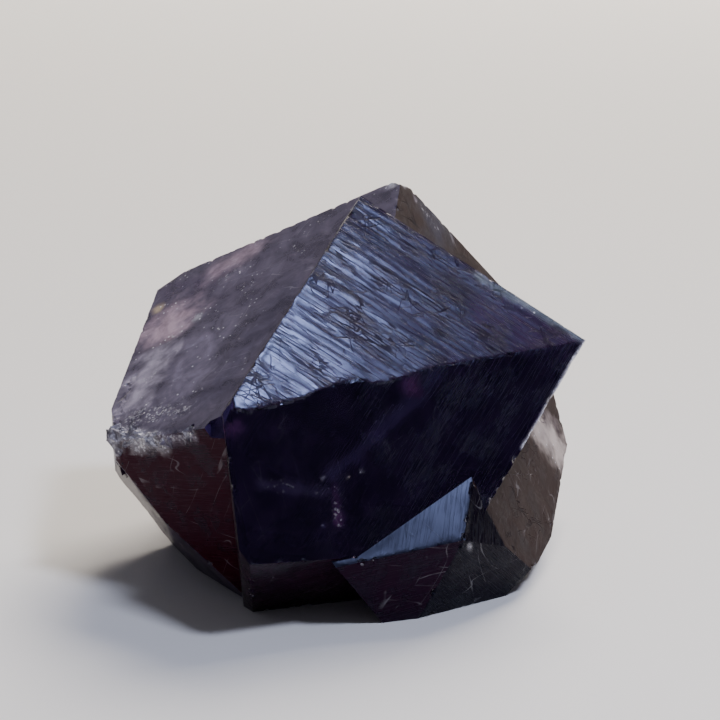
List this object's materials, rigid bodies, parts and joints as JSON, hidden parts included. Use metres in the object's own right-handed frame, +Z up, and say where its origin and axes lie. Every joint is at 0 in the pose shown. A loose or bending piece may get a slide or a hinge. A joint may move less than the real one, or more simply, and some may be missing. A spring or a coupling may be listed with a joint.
{
  "type": "fluorite specimen",
  "caption": "Hand-size cluster of intergrown dark purple fluorite cubes with a flat broken base, a display mineral that rests on a shelf.",
  "frame": {"origin": "middle of the bounding box, on the flat base", "axes": "+X to the right and +Z up as the large striated faces are looked at, which face -Y"},
  "size_m": [0.0464, 0.05, 0.0366],
  "materials": {
    "fluorite": "satin to glossy natural crystal faces with fine growth lines, dark violet and translucent, frosted where bruised"
  },
  "bodies": {
    "root": {"fluorite": "fluorite"}
  },
  "joints": []
}
